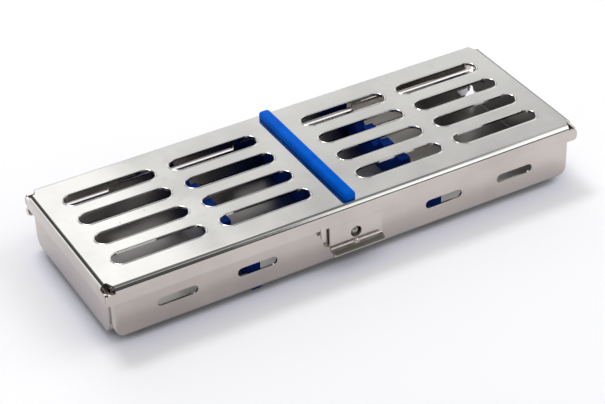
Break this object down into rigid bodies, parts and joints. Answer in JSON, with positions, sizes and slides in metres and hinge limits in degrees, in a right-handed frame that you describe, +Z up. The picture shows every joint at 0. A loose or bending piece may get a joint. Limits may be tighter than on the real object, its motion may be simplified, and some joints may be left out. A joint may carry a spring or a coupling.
{
  "type": "dental instrument cassette",
  "caption": "Low rectangular sheet-steel tray with a hinged slotted lid, front spring latch and silicone strips that hold long hand instruments.",
  "frame": {"origin": "middle of the middle silicone foot, on the surface that the cassette stands on", "axes": "+X along the cassette, -Y towards the front with the latch, +Z up"},
  "size_m": [0.18, 0.07, 0.0262],
  "materials": {
    "steel_sheet": "satin",
    "steel_bright": "polished",
    "blue_silicone": "satin"
  },
  "bodies": {
    "tray": {"base_tray": "steel_sheet", "hinge_pin": "steel_bright", "latch_stud": "steel_bright", "left_rest_strip": "blue_silicone", "middle_rest_strip": "blue_silicone", "right_rest_strip": "blue_silicone"},
    "lid": {"lid_panel": "steel_sheet", "hold_down_strip": "blue_silicone"},
    "latch": {"latch_tongue": "steel_sheet"}
  },
  "joints": [
    {"name": "lid_hinge", "type": "hinge", "parent": "tray", "child": "lid", "pos_m": [0, 0.0332, 0.0141], "axis": [-1, 0, 0], "range_deg": [0, 180]},
    {"name": "latch_flex", "type": "hinge", "parent": "lid", "child": "latch", "pos_m": [0.0005, -0.03185, 0.0168], "axis": [-1, 0, 0], "range_deg": [0, 12], "stiffness_Nm_per_rad": 0.15}
  ]
}
